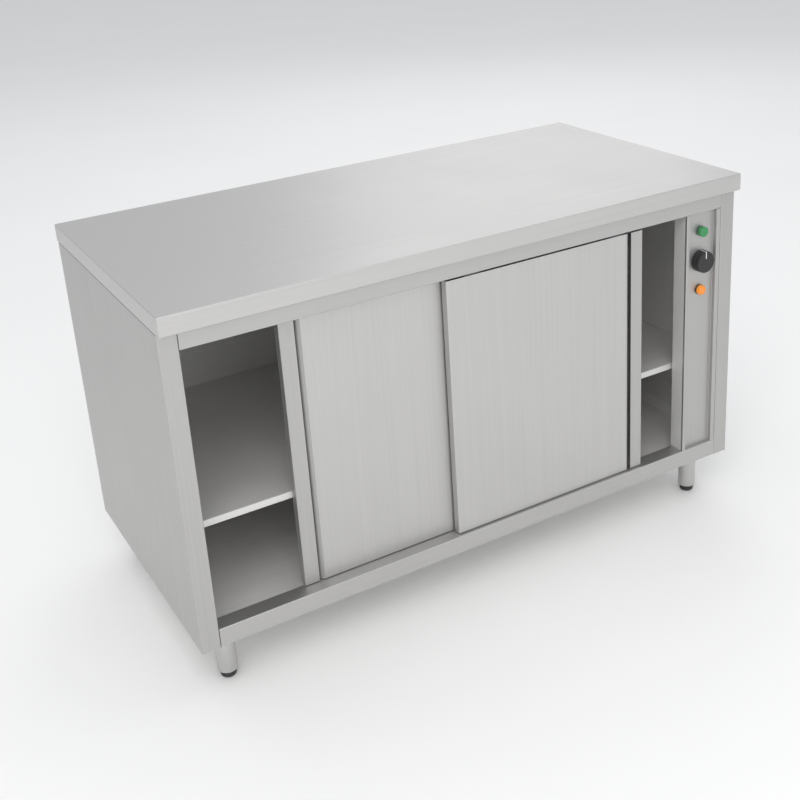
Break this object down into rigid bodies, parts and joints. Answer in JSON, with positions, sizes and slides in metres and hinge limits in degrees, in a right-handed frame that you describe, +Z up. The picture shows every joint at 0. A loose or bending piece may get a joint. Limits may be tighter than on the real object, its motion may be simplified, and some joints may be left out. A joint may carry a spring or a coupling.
{
  "type": "heated plate cupboard",
  "caption": "Free-standing heated cupboard for plates: steel cabinet on adjustable feet with sliding doors, a shelf and a control column.",
  "frame": {"origin": "on the floor under the middle of the worktop", "axes": "+X along the front to the right, +Y from front to back, +Z up"},
  "size_m": [1.4, 0.7, 0.85],
  "materials": {
    "worktop_steel": "satin, grain along the length",
    "board": "raw moisture-resistant board",
    "inner_steel": "fine satin",
    "outer_steel": "satin, brushed",
    "door_steel": "satin, grain upright",
    "wool": "mineral wool board",
    "track_aluminium": "mill finish",
    "rubber": "matt",
    "nylon": "smooth",
    "element_sheath": "dark oxidised",
    "zinc_steel": "zinc plated",
    "ceramic_body": "matt",
    "copper_bulb": "copper, dull",
    "knob_black": "fine satin",
    "button_green": "gloss",
    "lamp_amber": "translucent amber",
    "cable_grey": "matt",
    "leg_steel": "satin tube",
    "foot_black": "fine grain"
  },
  "bodies": {
    "cabinet": {"worktop": "worktop_steel", "worktop_board": "board", "worktop_channels": "inner_steel", "side_liner_left": "inner_steel", "side_liner_right": "inner_steel", "back_liner": "inner_steel", "ceiling_liner": "inner_steel", "floor_pan": "inner_steel", "shelf": "inner_steel", "shelf_runners": "inner_steel", "base_skin": "inner_steel", "side_skin_left": "outer_steel", "side_skin_right": "outer_steel", "back_skin": "outer_steel", "top_rail": "outer_steel", "bottom_rail": "outer_steel", "control_housing": "outer_steel", "control_fascia": "outer_steel", "side_insulation": "wool", "back_insulation": "wool", "ceiling_insulation": "wool", "base_insulation": "wool", "door_track": "track_aluminium", "track_stops": "rubber", "door_guides": "nylon", "heating_element": "element_sheath", "element_clips": "zinc_steel", "leg_bolts": "zinc_steel", "thermostat_body": "ceramic_body", "terminal_block": "ceramic_body", "thermostat_bulb": "copper_bulb", "button_housing": "knob_black", "lamp_holder": "knob_black", "cable_gland": "knob_black", "lamp_lens": "lamp_amber", "internal_cables": "cable_grey", "leg_plates": "leg_steel", "leg_tubes": "leg_steel", "leg_inserts": "foot_black"},
    "door_left": {"door_left_skin": "door_steel", "door_left_grip": "door_steel", "door_left_liner": "door_steel", "door_left_core": "wool", "door_left_hangers": "zinc_steel"},
    "door_right": {"door_right_skin": "door_steel", "door_right_grip": "door_steel", "door_right_liner": "door_steel", "door_right_core": "wool", "door_right_hangers": "zinc_steel"},
    "roller_left_a": {"roller_left_a": "nylon"},
    "roller_left_b": {"roller_left_b": "nylon"},
    "roller_right_a": {"roller_right_a": "nylon"},
    "roller_right_b": {"roller_right_b": "nylon"},
    "foot_front_left": {"foot_front_left": "foot_black"},
    "foot_front_right": {"foot_front_right": "foot_black"},
    "foot_back_left": {"foot_back_left": "foot_black"},
    "foot_back_right": {"foot_back_right": "foot_black"},
    "knob": {"thermostat_knob": "knob_black", "thermostat_spindle": "zinc_steel"},
    "button": {"power_button": "button_green"}
  },
  "joints": [
    {"name": "door_left_slide", "type": "slide", "parent": "cabinet", "child": "door_left", "axis": [1, 0, 0], "range_m": [-0.205, 0.29]},
    {"name": "door_right_slide", "type": "slide", "parent": "cabinet", "child": "door_right", "axis": [1, 0, 0], "range_m": [-0.3172, 0.1243]},
    {"name": "roller_left_a_spin", "type": "hinge", "parent": "door_left", "child": "roller_left_a", "pos_m": [-0.3865, -0.29, 0.7889], "axis": [0, 1, 0], "continuous": true},
    {"name": "roller_left_b_spin", "type": "hinge", "parent": "door_left", "child": "roller_left_b", "pos_m": [0.1975, -0.29, 0.7889], "axis": [0, 1, 0], "continuous": true},
    {"name": "roller_right_a_spin", "type": "hinge", "parent": "door_right", "child": "roller_right_a", "pos_m": [0.3632, -0.312, 0.7889], "axis": [0, 1, 0], "continuous": true},
    {"name": "roller_right_b_spin", "type": "hinge", "parent": "door_right", "child": "roller_right_b", "pos_m": [-0.0208, -0.312, 0.7889], "axis": [0, 1, 0], "continuous": true},
    {"name": "thermostat_turn", "type": "hinge", "parent": "cabinet", "child": "knob", "pos_m": [0.60635, -0.32, 0.65], "axis": [0, 1, 0], "range_deg": [0, 270]},
    {"name": "button_press", "type": "slide", "parent": "cabinet", "child": "button", "axis": [0, 1, 0], "range_m": [0, 0.003], "stiffness_N_per_m": 700, "springref_m": -0.003},
    {"name": "foot_front_left_screw", "type": "slide", "parent": "cabinet", "child": "foot_front_left", "axis": [0, 0, 1], "range_m": [-0.03, 0]},
    {"name": "foot_front_right_screw", "type": "slide", "parent": "cabinet", "child": "foot_front_right", "axis": [0, 0, 1], "range_m": [-0.03, 0]},
    {"name": "foot_back_left_screw", "type": "slide", "parent": "cabinet", "child": "foot_back_left", "axis": [0, 0, 1], "range_m": [-0.03, 0]},
    {"name": "foot_back_right_screw", "type": "slide", "parent": "cabinet", "child": "foot_back_right", "axis": [0, 0, 1], "range_m": [-0.03, 0]}
  ],
  "couplings": [
    {"joint": "roller_left_a_spin", "follows": "door_left_slide", "rad_per_m": 125},
    {"joint": "roller_left_b_spin", "follows": "door_left_slide", "rad_per_m": 125},
    {"joint": "roller_right_a_spin", "follows": "door_right_slide", "rad_per_m": 125},
    {"joint": "roller_right_b_spin", "follows": "door_right_slide", "rad_per_m": 125}
  ]
}
